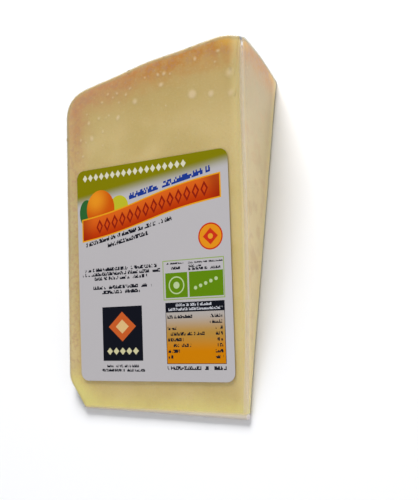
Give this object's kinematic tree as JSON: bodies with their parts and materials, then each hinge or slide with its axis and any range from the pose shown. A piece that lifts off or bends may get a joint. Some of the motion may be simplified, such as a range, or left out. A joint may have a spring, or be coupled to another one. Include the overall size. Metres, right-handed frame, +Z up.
{
  "type": "parmesan chunk",
  "caption": "Wedge sawn from half a wheel of hard straw-coloured cheese, with rind on its heel and one side, sealed in tight clear film with a paper label; rests on one cut face.",
  "frame": {"origin": "on the surface the chunk lies on, under the middle of its box", "axes": "+Y from the thin tip to the heel, +X towards the sawn mid-height face, +Z up from the cut face it lies on"},
  "size_m": [0.116, 0.206, 0.0586],
  "materials": {
    "cheese": "satin",
    "label_paper": "satin",
    "clear_film": "gloss"
  },
  "bodies": {
    "root": {"cheese_wedge": "cheese", "label": "label_paper"}
  },
  "joints": []
}
